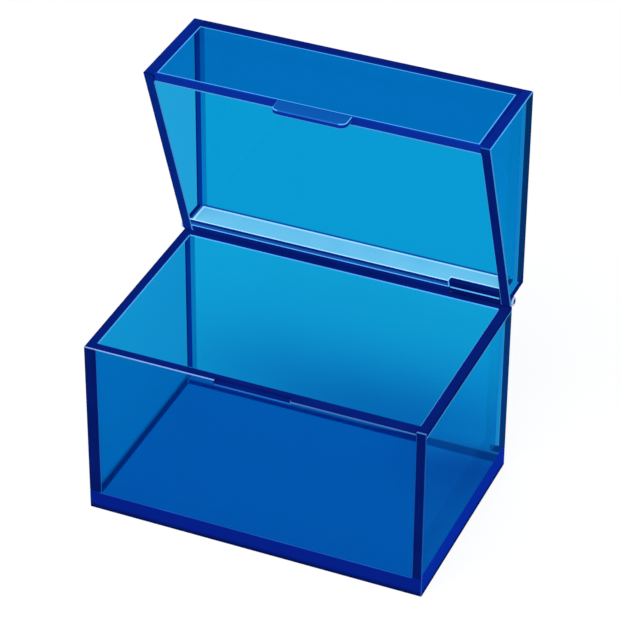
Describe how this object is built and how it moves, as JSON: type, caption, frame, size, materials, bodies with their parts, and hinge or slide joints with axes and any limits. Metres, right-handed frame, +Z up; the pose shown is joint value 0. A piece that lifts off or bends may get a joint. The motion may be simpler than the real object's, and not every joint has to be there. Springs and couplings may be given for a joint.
{
  "type": "acrylic storage box with lid",
  "caption": "See-through blue acrylic storage box with a wedge-shaped lid on a rod hinge along the rear rim, a finger tab on the lid and a recess for it in the front rim.",
  "frame": {"origin": "centre of the base's underside", "axes": "+Z up, X along the hinge with +X to the right seen from the front, -Y to the front"},
  "size_m": [0.1012, 0.0736, 0.1192],
  "materials": {
    "blue_acrylic": "polished see-through royal blue sheet with darker cut edges",
    "hinge_acrylic": "polished dark blue rod and barrel",
    "clear_ring": "polished pale ring"
  },
  "bodies": {
    "box": {"base_panel": "blue_acrylic", "front_panel": "blue_acrylic", "back_panel": "blue_acrylic", "left_panel": "blue_acrylic", "right_panel": "blue_acrylic", "box_hinge_barrel": "hinge_acrylic"},
    "lid": {"lid_top_panel": "blue_acrylic", "lid_front_panel": "blue_acrylic", "lid_rear_panel": "blue_acrylic", "lid_left_panel": "blue_acrylic", "lid_right_panel": "blue_acrylic", "lid_tab": "blue_acrylic", "lid_hinge_knuckle": "hinge_acrylic", "hinge_rod": "hinge_acrylic", "hinge_end_ring_left": "clear_ring", "hinge_end_ring_right": "clear_ring"}
  },
  "joints": [
    {"name": "lid_hinge", "type": "hinge", "parent": "box", "child": "lid", "pos_m": [0, 0.0325, 0.0566], "axis": [-1, 0, 0], "range_deg": [-70, 94]}
  ]
}
